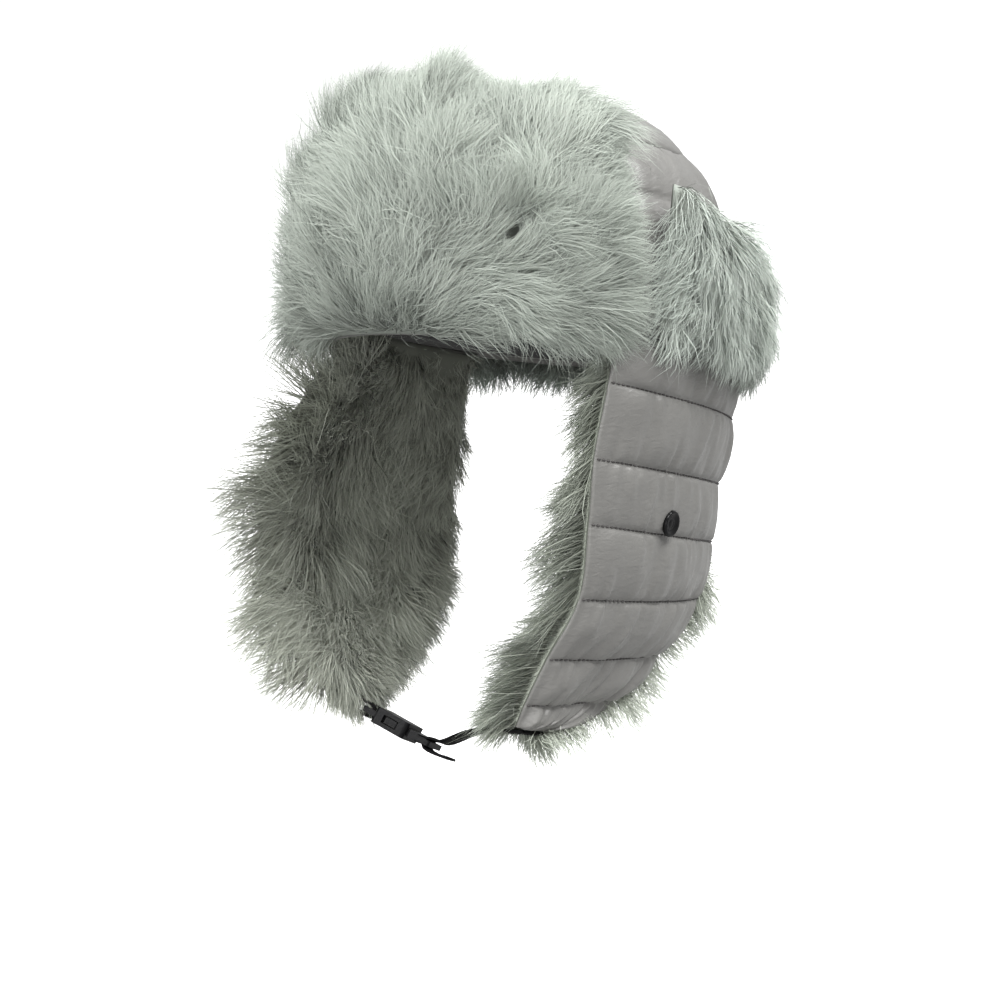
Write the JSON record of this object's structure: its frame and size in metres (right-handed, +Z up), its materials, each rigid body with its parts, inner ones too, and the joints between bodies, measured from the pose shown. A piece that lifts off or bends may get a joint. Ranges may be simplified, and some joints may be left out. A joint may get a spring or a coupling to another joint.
{
  "type": "aviator hat",
  "caption": "Quilted winter hat with long-pile fur flaps turned up at front and back, ear flaps worn down and a buckled chin strap.",
  "frame": {"origin": "middle of the crown's rim, where the hat sits on a head", "axes": "+Z up the wearer's head, -Y out of the wearer's face, +X to the wearer's left"},
  "size_m": [0.2272, 0.2653, 0.3237],
  "materials": {
    "nylon": "taupe-grey satin nylon, quilted in channels over thin padding",
    "fur": "grey-green silver faux fur with a long pile, darker at its roots",
    "plastic": "black glossy plastic",
    "webbing": "black woven webbing, matte"
  },
  "bodies": {
    "root": {"crown_band": "nylon", "crown_top": "nylon", "front_flap_shell": "nylon", "front_flap_fur": "fur", "back_flap_shell": "nylon", "back_flap_fur": "fur", "ear_flap_shell_left": "nylon", "ear_flap_shell_right": "nylon", "ear_flap_fur_left": "fur", "ear_flap_fur_right": "fur", "snap_cap_left": "plastic", "snap_cap_right": "plastic", "strap_left": "webbing", "strap_right": "webbing", "buckle_socket": "plastic", "buckle_clip": "plastic"}
  },
  "joints": []
}
